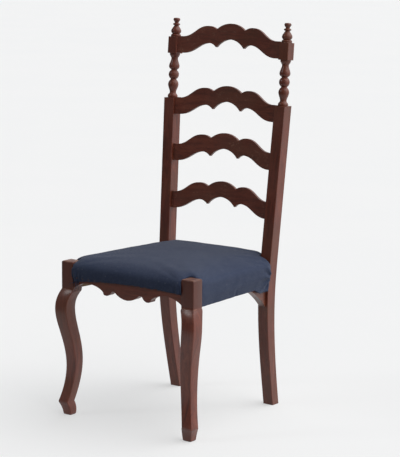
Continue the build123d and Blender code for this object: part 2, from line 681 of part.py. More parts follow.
save(cut_away(webbing_front_to_back.part, web_tack_holes), "webbing_front_to_back")
save(cut_away(webbing_side_to_side.part, web_tack_holes), "webbing_side_to_side")
save(tacks(web_tack_places), "webbing_tacks")
save(hessian.part, "hessian")
save(stuffing, "stuffing")
save(wadding, "wadding")
save(cut_away(cover_shell.part, cover_tack_holes), "seat_cover")
save(tacks(cover_tack_places), "cover_tacks")
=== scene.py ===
import math
import random

import bmesh
import bpy
import numpy as np
from mathutils import Matrix, Vector, noise
from mathutils.bvhtree import BVHTree


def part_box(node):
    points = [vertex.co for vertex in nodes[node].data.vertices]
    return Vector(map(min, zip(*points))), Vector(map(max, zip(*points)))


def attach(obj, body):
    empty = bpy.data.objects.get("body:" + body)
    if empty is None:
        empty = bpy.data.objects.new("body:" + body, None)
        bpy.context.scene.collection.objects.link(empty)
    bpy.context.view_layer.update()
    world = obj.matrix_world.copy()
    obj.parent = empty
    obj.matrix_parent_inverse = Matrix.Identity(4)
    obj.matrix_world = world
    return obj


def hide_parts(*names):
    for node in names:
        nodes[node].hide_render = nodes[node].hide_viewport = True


# A ladder-back side chair. The wooden frame is the CAD frame with varnished wood on it, and the front
# legs are rebuilt with softened edges. The upholstery is built here: a cloth cover blown up over the
# stuffing, with folds, a ragged tacked hem, and webbing and hessian underneath. Metres throughout.

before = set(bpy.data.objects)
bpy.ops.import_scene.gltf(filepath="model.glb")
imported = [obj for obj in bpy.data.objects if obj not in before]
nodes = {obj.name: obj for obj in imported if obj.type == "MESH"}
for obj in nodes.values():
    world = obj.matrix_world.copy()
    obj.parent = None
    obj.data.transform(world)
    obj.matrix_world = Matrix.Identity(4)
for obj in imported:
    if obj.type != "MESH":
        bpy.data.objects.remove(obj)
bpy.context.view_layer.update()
rng = random.Random(11)

# ---- driving values --------------------------------------------

CAMERA_AZIMUTH = 36.94
CAMERA_ELEVATION = 9.74
CAMERA_ROLL = 0.44
CAMERA_PLACE = (3.037, -3.941, 1.387)
CAMERA_LENS = 139.4

LEG_EDGE = 0.0026
BLOCK_EDGE = 0.0018
EDGE_CHANGES = (0.352, 0.372)
FOOT_EDGE = 0.0012
BLOCK_FOOT = 0.367
LEG_STEP = 0.006
SLAT_EDGE = 0.0014
BRACKET_EDGE = 0.001
SHARP_ANGLE = 50

COVER_FRONT, COVER_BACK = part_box("seat_cover")[0].y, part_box("seat_cover")[1].y
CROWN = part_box("seat_cover")[1].z
RAIL_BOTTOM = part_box("side_rail_right")[0].z
RAIL_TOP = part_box("side_rail_right")[1].z
RAIL_FACE_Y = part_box("front_rail")[0].y
RAIL_BACK_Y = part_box("rear_rail")[1].y
SIDE_RAIL_FRONT_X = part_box("side_rail_right")[1].x
SIDE_RAIL_REAR_X = 0.192
SIDE_TAPER = 0.078
BRACKET_FRONT_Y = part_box("side_bracket_right")[0].y
MIDDLE_OF_BLOCK = 0.41
MIDDLE_OF_RAIL = 0.375
WEB_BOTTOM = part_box("webbing_front_to_back")[0].z
WEB_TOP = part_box("webbing_side_to_side")[1].z


# ---- reading the frame -----------------------------------------

def cut_edges(node):
    """Both ends of every edge of a CAD node's mesh, as two arrays."""
    mesh = nodes[node].data
    points = np.array([v.co for v in mesh.vertices], float)
    pairs = np.array([e.vertices for e in mesh.edges], int)
    return points[pairs[:, 0]], points[pairs[:, 1]]


def cross_section(ends, height):
    """Lowest and highest x and y where a level plane cuts a mesh."""
    a, b = ends
    low, high = np.minimum(a[:, 2], b[:, 2]), np.maximum(a[:, 2], b[:, 2])
    cut = (low <= height) & (high >= height) & (high - low > 1e-9)
    a, b = a[cut], b[cut]
    share = ((height - a[:, 2]) / (b[:, 2] - a[:, 2]))[:, None]
    places = (a + (b - a) * share)[:, :2]
    return (*places.min(0), *places.max(0))


LEG_ENDS = cut_edges("front_leg_right")
BLOCK_LOW_X, BLOCK_FRONT_Y, _, BLOCK_BACK_Y = cross_section(LEG_ENDS, MIDDLE_OF_BLOCK)
BLOCK_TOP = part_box("front_leg_right")[1].z
POST_ENDS = cut_edges("rear_post_right")
POST_LOW_X, POST_FRONT_Y, POST_HIGH_X, _ = cross_section(POST_ENDS, MIDDLE_OF_RAIL)


def new_object(name, bm, material):
    """A smoothly shaded object made from a bmesh, which is used up."""
    mesh = bpy.data.meshes.new(name)
    bm.to_mesh(mesh)
    bm.free()
    for face in mesh.polygons:
        face.use_smooth = True
    obj = bpy.data.objects.new(name, mesh)
    bpy.context.scene.collection.objects.link(obj)
    if material:
        mesh.materials.append(material)
    return obj


def add_modifier(obj, kind, **settings):
    modifier = obj.modifiers.new(kind.lower(), kind)
    for key, value in settings.items():
        setattr(modifier, key, value)
    return modifier


def baked(obj):
    """The object with its modifiers applied."""
    graph = bpy.context.evaluated_depsgraph_get()
    made = bpy.data.meshes.new_from_object(obj.evaluated_get(graph))
    obj.modifiers.clear()
    obj.data = made
    return obj


def smoothstep(low, high, value):
    t = min(1.0, max(0.0, (value - low) / (high - low)))
    return t * t * (3 - 2 * t)


def round_ring(bm, place, turn, radius, sides, rise=0.0):
    """A ring of new vertices round a place, on the plane that turn gives."""
    ring = []
    for i in range(sides):
        angle = 2 * math.pi * i / sides
        spot = Vector((radius * math.cos(angle), radius * math.sin(angle), rise))
        ring.append(bm.verts.new(place + turn @ spot))
    return ring


def skin(bm, rings):
    """Faces between each ring of vertices and the next."""
    for below, above in zip(rings, rings[1:]):
        for i, start in enumerate(below):
            j = (i + 1) % len(below)
            bm.faces.new((start, below[j], above[j], above[i]))


# ---- materials -------------------------------------------------

class Shader:
    """A material, or a world, whose nodes are added in few words."""

    def __init__(self, name, group=bpy.data.materials):
        self.owner = group.new(name)
        self.owner.use_nodes = True
        self.tree = self.owner.node_tree
        self.tree.nodes.clear()

    def node(self, kind, inputs=(), **settings):
        """A node of that kind. Inputs are values or the sockets that feed them."""
        made = self.tree.nodes.new("ShaderNode" + kind)
        for key, value in settings.items():
            setattr(made, key, value)
        for key, value in dict(inputs).items():
            if isinstance(value, bpy.types.NodeSocket):
                self.tree.links.new(value, made.inputs[key])
            else:
                made.inputs[key].default_value = value
        return made

    def out(self, kind, inputs=(), **settings):
        """The first output of a new node."""
        return self.node(kind, inputs, **settings).outputs[0]

    def place(self, scale, offset=(0, 0, 0), vector=None):
        """Object coordinates, stretched and moved."""
        start = vector or self.node("TexCoord").outputs["Object"]
        return self.out("Mapping", {"Vector": start, "Location": offset, "Scale": scale})

    def noise(self, scale, offset=(0, 0, 0), detail=4.0, rough=0.55, vector=None, distortion=0.0):
        """Fractal noise, with so many swells to the metre along each axis."""
        where = self.place(scale, offset, vector)
        return self.out("TexNoise", {"Vector": where, "Scale": 1.0, "Detail": detail, "Roughness": rough,
                                     "Distortion": distortion})

    def ramp(self, value, *stops):
        """A colour ramp through (position, colour) stops."""
        made = self.node("ValToRGB", {"Fac": value})
        elements = made.color_ramp.elements
        while len(elements) < len(stops):
            elements.new(0.5)
        for element, (position, colour) in zip(elements, stops):
            element.position = position
            element.color = (*colour, 1.0)
        return made.outputs["Color"]

    def remap(self, value, low, high, to_low=0.0, to_high=1.0):
        """A value taken smoothly from one range to another, and held at its ends."""
        return self.out("MapRange", {"Value": value, "From Min": low, "From Max": high, "To Min": to_low,
                                     "To Max": to_high}, interpolation_type="SMOOTHSTEP")

    def mix(self, share, first, second):
        """Between two colours or values, by a share of the second."""
        first = (*first, 1.0) if isinstance(first, tuple) else first
        second = (*second, 1.0) if isinstance(second, tuple) else second
        return self.out("MixRGB", {"Fac": share, "Color1": first, "Color2": second})

    def maths(self, operation, first, second=0.0):
        return self.out("Math", {0: first, 1: second}, operation=operation)

    def dot(self, first, second):
        made = self.node("VectorMath", {0: first, 1: second}, operation="DOT_PRODUCT")
        return made.outputs["Value"]

    def bump(self, height, strength, distance, normal=None):
        inputs = {"Height": height, "Strength": strength, "Distance": distance}
        if normal:
            inputs["Normal"] = normal
        return self.out("Bump", inputs)

    def finish(self, **inputs):
        """The Principled surface that ends the material."""
        named = {key.replace("_", " "): value for key, value in inputs.items()}
        surface = self.out("BsdfPrincipled", named)
        self.node("OutputMaterial", {"Surface": surface})
        return self.owner


VARNISH_DARK = (0.078, 0.017, 0.0085)
VARNISH_MID = (0.172, 0.037, 0.0185)
VARNISH_LIGHT = (0.255, 0.074, 0.038)
VARNISH_HAZE = (0.190, 0.056, 0.033)
VARNISH_SMOKED = (0.084, 0.021, 0.0115)
VARNISH_OLIVE = (0.125, 0.046, 0.021)
# Lighter bare-wood colour: real wear, and also a painted highlight on up-facing leg faces.
WORN_AND_HIGHLIGHT = (0.340, 0.170, 0.105)
RAW_DARK = (0.155, 0.082, 0.040)
RAW_LIGHT = (0.330, 0.200, 0.110)
SAWN = (0.12, 0.07, 0.04)
NAVY = (0.025, 0.039, 0.084)
NAVY_FADED = (0.035, 0.051, 0.099)
NAVY_GAPS = (0.016, 0.024, 0.057)
NAVY_MOTTLED = (0.068, 0.084, 0.140)
NAVY_SLUB = (0.085, 0.10, 0.15)
LINT = (0.30, 0.31, 0.34)
JUTE_DARK = (0.19, 0.125, 0.065)
JUTE_LIGHT = (0.40, 0.29, 0.17)
JUTE_STAINED = (0.16, 0.11, 0.07)
JUTE_STRIPE = (0.045, 0.020, 0.018)
HESSIAN_DARK = (0.22, 0.15, 0.08)
HESSIAN_LIGHT = (0.46, 0.34, 0.20)
STEEL = (0.35, 0.34, 0.33)
STEEL_RUST = (0.14, 0.06, 0.03)
BLUED_STEEL = (0.09, 0.10, 0.13)
BLUED_STEEL_RUST = (0.12, 0.05, 0.03)
BRASS = (0.17, 0.10, 0.06)
BRASS_TARNISH = (0.10, 0.045, 0.028)
PAPER_GREY = (0.415, 0.418, 0.420)
PAPER_PALE = (0.424, 0.424, 0.424)

NAVY_THREAD = 0.0011
WEBBING_THREAD = 0.0016
STRIPE_FROM_MIDDLE = 0.016
HESSIAN_THREAD = 0.0013
WORN_EDGE = 0.0016


def grain_scale(grain, across, along):
    return tuple(along if axis == grain else across for axis in "XYZ")


def varnished(name, grain, seed, raw_side=None, wear=1.0, top_wear_and_highlight=0.0, smoked_from=None,
              crazed=0.0):
    """Dark red-brown varnish on wood whose grain runs along one axis.

    raw_side is the direction of a face that never was varnished, such as a rail's inside.
    top_wear_and_highlight lightens the faces that look up, in scuffed patches: partly rubbed varnish,
    partly a painted highlight of the light from above. Above the height smoked_from the varnish has
    gone darker, as under a hand, and it is chipped along that height. crazed is how strongly fine
    broken cracks show.
    """
    s = Shader(name)
    offset = (seed * 1.7, seed * 2.3, seed * 0.9)
    swirl = s.noise((7, 7, 7), offset, detail=2.0)
    object_place = s.node("TexCoord").outputs["Object"]
    bent = s.out("MixRGB", {"Fac": 0.035, "Color1": object_place, "Color2": swirl}, blend_type="ADD")
    streaks = s.noise(grain_scale(grain, 95, 6), offset, detail=6.0, rough=0.66, vector=bent,
                      distortion=0.5)
    pores = s.noise(grain_scale(grain, 1300, 60), offset, detail=2.0, rough=0.5, vector=bent)
    patches = s.noise((9, 9, 9), offset, detail=3.0)
    body = s.ramp(streaks, (0.30, VARNISH_DARK), (0.52, VARNISH_MID), (0.78, VARNISH_LIGHT))
    body = s.mix(s.remap(patches, 0.35, 0.75, 0.0, 0.5), body, VARNISH_HAZE)
    aged = s.noise((6, 6, 6), (seed * 3.1, seed, seed * 1.3), detail=3.0)
    body = s.mix(s.remap(aged, 0.46, 0.66, 0.0, 0.42), body, VARNISH_OLIVE)
    body = s.mix(s.remap(pores, 0.56, 0.68, 0.0, 0.55), body, VARNISH_DARK)
    if smoked_from:
        height_here = s.node("SeparateXYZ", {"Vector": object_place}).outputs["Z"]
        body = s.mix(s.remap(height_here, smoked_from - 0.01, smoked_from + 0.01, 0.0, 0.75), body,
                     VARNISH_SMOKED)
        from_joint = s.maths("ABSOLUTE", s.maths("SUBTRACT", height_here, smoked_from))
        chips = s.remap(s.noise((90, 90, 20), offset, detail=4.0, rough=0.7), 0.42, 0.62, 0.1, 0.9)
        body = s.mix(s.maths("MULTIPLY", s.remap(from_joint, 0.0011, 0.0003), chips), body, WORN_AND_HIGHLIGHT)
    face_normal = s.node("NewGeometry").outputs["Normal"]
    rounded = s.out("Bevel", {"Radius": WORN_EDGE}, samples=6)
    edge = s.remap(s.dot(rounded, face_normal), 0.985, 0.86)
    scuffs = s.noise((55, 55, 55), offset, detail=5.0, rough=0.7)
    edge_wear = s.maths("MULTIPLY", edge, s.remap(scuffs, 0.44, 0.64, 0.0, 0.75 * wear))
    specks = s.noise((38, 38, 38), (seed, 5.0, seed), detail=8.0, rough=0.78)
    spots = s.remap(specks, 0.70, 0.78, 0.0, 0.5)
    body = s.mix(edge_wear, body, WORN_AND_HIGHLIGHT)
    body = s.mix(s.maths("MULTIPLY", spots, wear), body, WORN_AND_HIGHLIGHT)
    if crazed:
        wander = s.noise(grain_scale(grain, 30, 11), offset, detail=5.0, rough=0.7)
        off_line = s.maths("ABSOLUTE", s.maths("SUBTRACT", wander, 0.5))
        broken = s.maths("MULTIPLY", s.remap(patches, 0.46, 0.60),
                         s.remap(scuffs, 0.44, 0.56, 0.0, crazed))
        body = s.mix(s.maths("MULTIPLY", s.remap(off_line, 0.009, 0.002), broken), body, WORN_AND_HIGHLIGHT)
    # Up-facing faces lightened in scuffed patches: partly rubbed varnish, partly a painted highlight.
    if top_wear_and_highlight:
        upward = s.remap(s.node("SeparateXYZ", {"Vector": face_normal}).outputs["Z"], 0.7, 0.95)
        rubbed_and_highlit = s.maths("MULTIPLY", upward, s.remap(scuffs, 0.34, 0.62, 0.0, top_wear_and_highlight))
        body = s.mix(rubbed_and_highlit, body, WORN_AND_HIGHLIGHT)
    rough = s.remap(patches, 0.3, 0.7, 0.36, 0.50)
    rough = s.maths("ADD", rough, s.remap(scuffs, 0.5, 0.8, 0.0, 0.12))
    if raw_side:
        raw_grain = s.ramp(streaks, (0.3, RAW_DARK), (0.75, RAW_LIGHT))
        bare = s.remap(s.dot(face_normal, raw_side), 0.6, 0.8)
        body = s.mix(bare, body, raw_grain)
        rough = s.maths("MAXIMUM", rough, s.maths("MULTIPLY", bare, 0.85))
    height = s.maths("SUBTRACT", s.maths("MULTIPLY", streaks, 0.35), s.remap(pores, 0.55, 0.70, 0.0, 0.5))
    normal = s.bump(height, 0.22, 0.0006, rounded)
    return s.finish(Base_Color=body, Roughness=rough, Normal=normal, Coat_Weight=0.30,
                    Coat_Roughness=0.17, Specular_IOR_Level=0.36)


def raw_wood(name, grain, seed):
    """Unvarnished softwood with saw marks."""
    s = Shader(name)
    offset = (seed, seed * 0.7, seed * 1.9)
    streaks = s.noise(grain_scale(grain, 80, 5), offset, detail=6.0, rough=0.65, distortion=0.6)
    saw = s.noise(grain_scale(grain, 14, 380), offset, detail=2.0)
    body = s.ramp(streaks, (0.28, RAW_DARK), (0.74, RAW_LIGHT))
    body = s.mix(s.remap(saw, 0.4, 0.7, 0.0, 0.3), body, SAWN)
    rough = s.remap(streaks, 0.3, 0.7, 0.72, 0.9)
    height = s.maths("ADD", streaks, saw)
    return s.finish(Base_Color=body, Roughness=rough, Normal=s.bump(height, 0.4, 0.0007))


def weave_height(s, first, second, pitch):
    """Plain weave on the plane of two axes: over and under, one thread pitch apart."""
    waves = []
    for axis in (first, second):
        turned = s.place((1, 1, 1))
        parts = s.node("SeparateXYZ", {"Vector": turned})
        angle = s.maths("MULTIPLY", parts.outputs[axis], math.pi / pitch)
        waves.append(s.maths("SINE", angle))
    return s.maths("MULTIPLY", waves[0], waves[1])


def woven(s, pitch):
    """Weave that follows whichever plane the surface faces."""
    facing = s.node("SeparateXYZ", {"Vector": s.node("NewGeometry").outputs["Normal"]})
    up = s.remap(s.maths("ABSOLUTE", facing.outputs["Z"]), 0.55, 0.8)
    sideways = s.remap(s.maths("ABSOLUTE", facing.outputs["X"]), 0.55, 0.8)
    upright = s.mix(sideways, weave_height(s, "X", "Z", pitch), weave_height(s, "Y", "Z", pitch))
    return s.mix(up, upright, weave_height(s, "X", "Y", pitch))


def navy_cloth(name):
    """Navy plain weave, faded in patches, with lint on it."""
    s = Shader(name)
    weave = woven(s, NAVY_THREAD)
    slub_long = s.noise((30, 900, 900), (3, 1, 2), detail=2.0)
    slub_cross = s.noise((900, 30, 60), (8, 4, 1), detail=2.0)
    slubs = s.maths("ADD", slub_long, slub_cross)
    fade = s.noise((6, 6, 6), (1, 2, 3), detail=3.0)
    mottle = s.noise((160, 160, 160), (4, 4, 4), detail=3.0, rough=0.6)
    body = s.mix(s.remap(fade, 0.3, 0.7), NAVY, NAVY_FADED)
    body = s.mix(s.remap(weave, -0.8, 0.8, 0.0, 0.45), body, NAVY_GAPS)
    body = s.mix(s.remap(mottle, 0.45, 0.75, 0.0, 0.45), body, NAVY_MOTTLED)
    body = s.mix(s.remap(slubs, 1.12, 1.3, 0.0, 0.35), body, NAVY_SLUB)
    lint = s.out("TexVoronoi", {"Vector": s.place((48, 48, 48)), "Scale": 1.0, "Randomness": 1.0})
    specks = s.remap(lint, 0.10, 0.045, 0.0, 0.32)
    body = s.mix(specks, body, LINT)
    height = s.maths("ADD", weave, s.maths("MULTIPLY", slubs, 0.8))
    height = s.maths("ADD", height, s.maths("MULTIPLY", mottle, 0.8))
    rough = s.remap(mottle, 0.3, 0.7, 0.82, 0.95)
    return s.finish(Base_Color=body, Roughness=rough, Normal=s.bump(height, 0.5, 0.0005),
                    Sheen_Weight=0.12, Sheen_Roughness=0.5, Specular_IOR_Level=0.25)


def jute(name, dark, light, pitch, stripe_axis=None, stripe_start=0.0, stripe_pitch=1.0):
    """Coarse jute weave. A strap also has two dark lines along it."""
    s = Shader(name)
    weave = weave_height(s, "X", "Y", pitch)
    fibre = s.noise((420, 420, 420), (2, 7, 1), detail=4.0, rough=0.7)
    patches = s.noise((14, 14, 14), (1, 1, 5), detail=3.0)
    body = s.mix(s.remap(weave, -0.9, 0.9), dark, light)
    body = s.mix(s.remap(fibre, 0.4, 0.75, 0.0, 0.5), body, dark)
    body = s.mix(s.remap(patches, 0.4, 0.7, 0.0, 0.35), body, JUTE_STAINED)
    if stripe_axis:
        parts = s.node("SeparateXYZ", {"Vector": s.place((1, 1, 1))})
        across = s.maths("SUBTRACT", parts.outputs[stripe_axis], stripe_start)
        across = s.out("Math", {0: across, 1: stripe_pitch / 2}, operation="PINGPONG")
        near = s.maths("ABSOLUTE", s.maths("SUBTRACT", across, STRIPE_FROM_MIDDLE))
        body = s.mix(s.remap(near, 0.0022, 0.0012, 0.0, 0.8), body, JUTE_STRIPE)
    rough = s.remap(fibre, 0.3, 0.7, 0.8, 0.95)
    height = s.maths("ADD", weave, fibre)
    return s.finish(Base_Color=body, Roughness=rough, Normal=s.bump(height, 0.7, 0.0008))


def metal(name, colour, rust, shine, rust_share):
    """Old metal with rust or tarnish in patches."""
    s = Shader(name)
    patches = s.noise((420, 420, 420), (6, 2, 9), detail=4.0, rough=0.65)
    covered = s.remap(patches, 0.62 - rust_share * 0.3, 0.78 - rust_share * 0.3)
    body = s.mix(covered, colour, rust)
    metallic = s.maths("SUBTRACT", 1.0, s.maths("MULTIPLY", covered, 0.85))
    rough = s.remap(patches, 0.3, 0.75, shine, 0.8)
    return s.finish(Base_Color=body, Metallic=metallic, Roughness=rough,
                    Normal=s.bump(patches, 0.4, 0.0003))


# ---- wooden frame ----------------------------------------------

def leg_levels():
    """Heights at which the leg's outline is read: wherever it turns, and often enough between."""
    known = sorted({round(z, 4) for z in np.concatenate([LEG_ENDS[0][:, 2], LEG_ENDS[1][:, 2]])})
    levels = [known[0]]
    for z in known[1:]:
        gap = z - levels[-1]
        if gap < 0.0009 and z != known[-1]:
            continue
        steps = max(1, math.ceil(gap / LEG_STEP))
        levels += [levels[-1] + gap * (i + 1) / steps for i in range(steps)]
    return levels


def rounded_ring(low_x, low_y, high_x, high_y, radius, corner_steps=4):
    """Points round a rectangle with rounded corners."""
    ring = []
    west, east, south, north = low_x + radius, high_x - radius, low_y + radius, high_y - radius
    for x, y, start in ((east, north, 0), (west, north, 90), (west, south, 180), (east, south, 270)):
        for step in range(corner_steps + 1):
            angle = math.radians(start + 90 * step / corner_steps)
            ring.append((x + radius * math.cos(angle), y + radius * math.sin(angle)))
    return ring


def front_leg(side, material):
    """Square-section cabriole leg with softened edges. side is 1 for the right leg."""
    bm = bmesh.new()
    rings = []
    levels = leg_levels()
    for index, z in enumerate(levels):
        box = cross_section(LEG_ENDS, min(max(z, levels[0] + 1e-5), levels[-1] - 1e-5))
        radius = LEG_EDGE + (BLOCK_EDGE - LEG_EDGE) * smoothstep(*EDGE_CHANGES, z)
        inset = FOOT_EDGE if index == 0 else 0.0
        points = rounded_ring(box[0] + inset, box[1] + inset, box[2] - inset, box[3] - inset, radius)
        rings.append([bm.verts.new((side * x, y, z)) for x, y in points])
    skin(bm, rings)
    bm.faces.new(reversed(rings[0]))
    bm.faces.new(rings[-1])
    bmesh.ops.recalc_face_normals(bm, faces=bm.faces)
    name = "left" if side < 0 else "right"
    leg = new_object(f"leg_front_{name}", bm, material)
    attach(leg, "root")
    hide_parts(f"front_leg_{name}")


def dress(node, material, edge=None):
    """The CAD node with a new material, and its sharp edges rounded over that width."""
    data = nodes[node].data
    data.materials.clear()
    data.materials.append(material)
    if edge:
        add_modifier(nodes[node], "BEVEL", width=edge, segments=2, limit_method="ANGLE",
                     angle_limit=math.radians(SHARP_ANGLE), use_clamp_overlap=False)


for side, seed in ((1, 3.1), (-1, 4.3)):
    front_leg(side, varnished(f"leg_wood_{seed:.0f}", "Z", seed, wear=1.5, top_wear_and_highlight=0.6,
                              smoked_from=BLOCK_FOOT))
dress("rear_post_right", varnished("post_wood_right", "Z", 1.2))
dress("rear_post_left", varnished("post_wood_left", "Z", 2.4))
for number, slat in enumerate(("top", "upper", "lower", "bottom")):
    dress(f"slat_{slat}", varnished(f"slat_wood_{slat}", "X", 5.3 + number * 1.1, crazed=0.7),
          edge=SLAT_EDGE)
dress("front_rail", varnished("front_rail_wood", "X", 10.2, raw_side=(0, 1, 0), wear=0.4))
dress("rear_rail", varnished("rear_rail_wood", "X", 11.7, raw_side=(0, -1, 0)))
for name, side in (("right", 1), ("left", -1)):
    dress(f"side_rail_{name}",
          varnished(f"side_rail_wood_{name}", "Y", 12.5 + side, raw_side=(-side, 0, 0)))
    dress(f"side_bracket_{name}", varnished(f"bracket_wood_{name}", "Y", 15.5 + side, wear=1.6),
          edge=BRACKET_EDGE)
    dress(f"corner_block_front_{name}", raw_wood(f"front_block_wood_{name}", "X", 17.5 + side))
    dress(f"corner_block_rear_{name}", raw_wood(f"rear_block_wood_{name}", "Y", 19.5 + side))
dress("corner_screws", metal("screw_steel", STEEL, STEEL_RUST, 0.4, 0.8))
dress("webbing_tacks", metal("blued_steel", BLUED_STEEL, BLUED_STEEL_RUST, 0.35, 0.4))

# ---- seat cover ------------------------------------------------

COVER_BASE_LOW = 0.345
COVER_BASE_TOP = 0.462
FRONT_ROLL = (0.042, 0.034)
BACK_ROLL = (0.026, 0.026)
SIDE_ROLL_FRONT = (0.055, 0.036)
SIDE_ROLL_REAR = (0.080, 0.042)
FRONT_BULGE = 0.005
SIDE_BULGE_FRONT = 0.006
SIDE_BULGE_REAR = 0.0085
SKIRT_FILLS = (0.362, 0.402)
FRONT_FILLS = (0.392, 0.412)
DIP_BESIDE_BLOCK = (0.050, 0.010)
DIP_BESIDE_POST = (0.014, 0.008)
DIP_BEHIND_BLOCK = (0.010, 0.003)
DIP_BEFORE_POST = (0.012, 0.005)
DIP_DEPTH = 0.040
DIP_WIDTH = 0.02
TUCK = 0.0055
OVERLAP = 0.55
SIDE_FRONT_X = 0.2245
SIDE_REAR_X = 0.2045
RAIL_CLOTH_GAP = 0.0021
CLEARANCE = 0.0008
VOXEL = 0.005
PRESSURE = 4.0
CLOTH_FRAMES = 20
BIGGEST_MOVE = 0.028
PIN_BELOW = 0.395
PIN_NONE = 0.436
ROLL_SMOOTHED = (0.420, 0.440)
STUFFED = (0.436, 0.452)
TURN_UNDER = 0.012
CLOTH = 0.0015
FRONT_HEM = 0.4085
FRONT_HEM_PEAK_X = 0.06
FRONT_HEM_BEND = 0.27
BACK_HEM = 0.392
HEM_BELOW_RAIL = 0.0018
HEM_ON_BRACKET = 0.0135
BRACKET_REACH = 0.040


def cover_outline():
    """Plan of the cover, notched round the leg blocks and the rear posts."""
    right = [(BLOCK_LOW_X - CLEARANCE, COVER_FRONT), (BLOCK_LOW_X - CLEARANCE, BLOCK_BACK_Y + CLEARANCE),
             (SIDE_FRONT_X, BLOCK_BACK_Y + CLEARANCE), (SIDE_REAR_X, POST_FRONT_Y - CLEARANCE),
             (POST_LOW_X - CLEARANCE, POST_FRONT_Y - CLEARANCE), (POST_LOW_X - CLEARANCE, COVER_BACK)]
    left = [(-x, y) for x, y in reversed(right)]
    return right + left


def hem_height(x, y):
    """How low the cloth hangs at a place on its edge."""
    ragged = 0.0011 * noise.noise(Vector((x * 95, y * 95, 3.0)))
    ragged += 0.0007 * noise.noise(Vector((x * 330, y * 330, 8.0)))
    if y < BLOCK_BACK_Y:
        return FRONT_HEM - FRONT_HEM_BEND * (x - FRONT_HEM_PEAK_X) ** 2 + 1.8 * ragged
    if y > POST_FRONT_Y + 0.004:
        return BACK_HEM + ragged
    onto_bracket = smoothstep(BRACKET_FRONT_Y, BRACKET_FRONT_Y + BRACKET_REACH, y)
    return RAIL_BOTTOM - HEM_BELOW_RAIL - HEM_ON_BRACKET * onto_bracket + 0.3 * ragged


def rolled(inset, depth, roll):
    """A place near a square edge, moved onto the quarter ellipse that rounds the edge.

    inset and depth are how far the place is inside the edge's two faces, and roll is how far the
    ellipse reaches along each.
    """
    u, v = 1 - inset / roll[0], 1 - depth / roll[1]
    if u <= 0 or v <= 0:
        return inset, depth
    pull = max(u, v) / math.hypot(u, v)
    return roll[0] * (1 - u * pull), roll[1] * (1 - v * pull)


def dip(distance, reach, drop):
    """How far the top has come down at a distance from a piece of wood that it is tucked against."""
    if distance >= reach:
        return 0.0
    return drop * (1 - math.sqrt(max(0.0, 1 - (1 - max(0.0, distance) / reach) ** 2)))


def side_line(y):
    """The outline's x on the right, and how far along the side it is, from 0 at the front to 1."""
    along = (y - BLOCK_BACK_Y) / (POST_FRONT_Y - BLOCK_BACK_Y)
    return SIDE_FRONT_X + (SIDE_REAR_X - SIDE_FRONT_X) * along, min(1.0, max(0.0, along))


def round_over(place):
    """A place on the square block of the cover, moved onto its rolled edges."""
    x, y = abs(place.x), place.y
    edge, along = side_line(y)
    bulge = SIDE_BULGE_FRONT + (SIDE_BULGE_REAR - SIDE_BULGE_FRONT) * along
    bulge *= smoothstep(*SKIRT_FILLS, place.z)
    x *= 1 + bulge / edge
    y -= FRONT_BULGE * smoothstep(*FRONT_FILLS, place.z) * smoothstep(-0.19, COVER_FRONT, y)
    drop = COVER_BASE_TOP - place.z
    inset, drop = rolled(y - COVER_FRONT + FRONT_BULGE, drop, FRONT_ROLL)
    y = COVER_FRONT - FRONT_BULGE + inset
    inset, drop = rolled(COVER_BACK - y, drop, BACK_ROLL)
    y = COVER_BACK - inset
    roll = [a + (b - a) * along for a, b in zip(SIDE_ROLL_FRONT, SIDE_ROLL_REAR)]
    inset, drop = rolled(edge + bulge - x, drop, roll)
    x = edge + bulge - inset
    near_top = smoothstep(DIP_DEPTH, 0.0, drop)
    if y < BLOCK_BACK_Y:
        drop += near_top * dip(BLOCK_LOW_X - x, *DIP_BESIDE_BLOCK)
    elif y > POST_FRONT_Y:
        drop += near_top * dip(POST_LOW_X - x, *DIP_BESIDE_POST)
    else:
        behind_block = smoothstep(BLOCK_LOW_X - DIP_WIDTH, BLOCK_LOW_X, x)
        before_post = smoothstep(POST_LOW_X - DIP_WIDTH, POST_LOW_X, x)
        drop += near_top * behind_block * dip(y - BLOCK_BACK_Y, *DIP_BEHIND_BLOCK)
        drop += near_top * before_post * dip(POST_FRONT_Y - y, *DIP_BEFORE_POST)
    return Vector((math.copysign(x, place.x), y, COVER_BASE_TOP - drop))


def tucked(place):
    """How firmly the cloth is held at a place because it is tucked against a leg or a post."""
    x, y = abs(place.x), place.y
    if y < BLOCK_BACK_Y + TUCK and x > BLOCK_LOW_X - TUCK:
        away = max(BLOCK_LOW_X - x, y - BLOCK_BACK_Y)
    elif y > POST_FRONT_Y - TUCK and x > POST_LOW_X - TUCK:
        away = max(POST_LOW_X - x, POST_FRONT_Y - y)
    else:
        return 0.0
    return 1.0 - smoothstep(0.0025, TUCK, away)


def cover_base():
    """Closed block of the cover's plan, remeshed evenly and with its top edges rolled over."""
    bm = bmesh.new()
    floor = bm.faces.new([bm.verts.new((x, y, COVER_BASE_LOW)) for x, y in cover_outline()])
    raised = bmesh.ops.extrude_face_region(bm, geom=[floor])["geom"]
    bmesh.ops.translate(bm, vec=(0, 0, COVER_BASE_TOP - COVER_BASE_LOW),
                        verts=[v for v in raised if isinstance(v, bmesh.types.BMVert)])
    bmesh.ops.recalc_face_normals(bm, faces=bm.faces)
    base = new_object("seat_cover_cloth", bm, None)
    add_modifier(base, "REMESH", mode="VOXEL", voxel_size=VOXEL)
    baked(base)
    loose = base.vertex_groups.new(name="loose")
    for v in base.data.vertices:
        v.co = round_over(v.co)
        loose.add([v.index], smoothstep(*ROLL_SMOOTHED, v.co.z), "REPLACE")
    add_modifier(base, "SMOOTH", factor=0.5, iterations=5, vertex_group="loose")
    baked(base)
    return base


